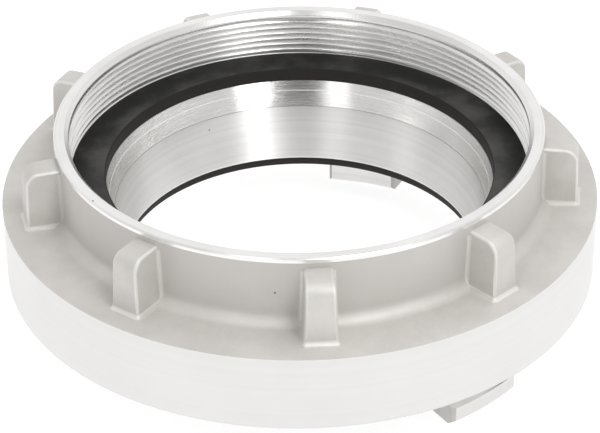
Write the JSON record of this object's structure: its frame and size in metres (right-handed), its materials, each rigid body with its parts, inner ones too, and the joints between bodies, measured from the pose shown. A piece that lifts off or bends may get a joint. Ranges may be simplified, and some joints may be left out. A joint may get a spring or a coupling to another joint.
{
  "type": "quarter turn fire hose coupling",
  "caption": "Aluminium fire hose coupling with hooked lugs and ramped lips that lock in part of a turn, a ribbed stub with a female pipe thread, a flat gasket and a face seal.",
  "frame": {"origin": "on the coupling's axis, in the plane of the three lug tips that it stands on", "axes": "+Z along the axis from the lug tips to the threaded stub; one entry slot ends behind, towards +Y"},
  "size_m": [0.21, 0.21, 0.0742],
  "materials": {
    "cast_aluminium": "blasted casting, turned bright on the collar, the rim, the bore and the thread",
    "black_rubber": "moulded black rubber with a soft sheen"
  },
  "bodies": {
    "root": {"coupling_body": "cast_aluminium", "thread_gasket": "black_rubber", "face_seal": "black_rubber"}
  },
  "joints": []
}
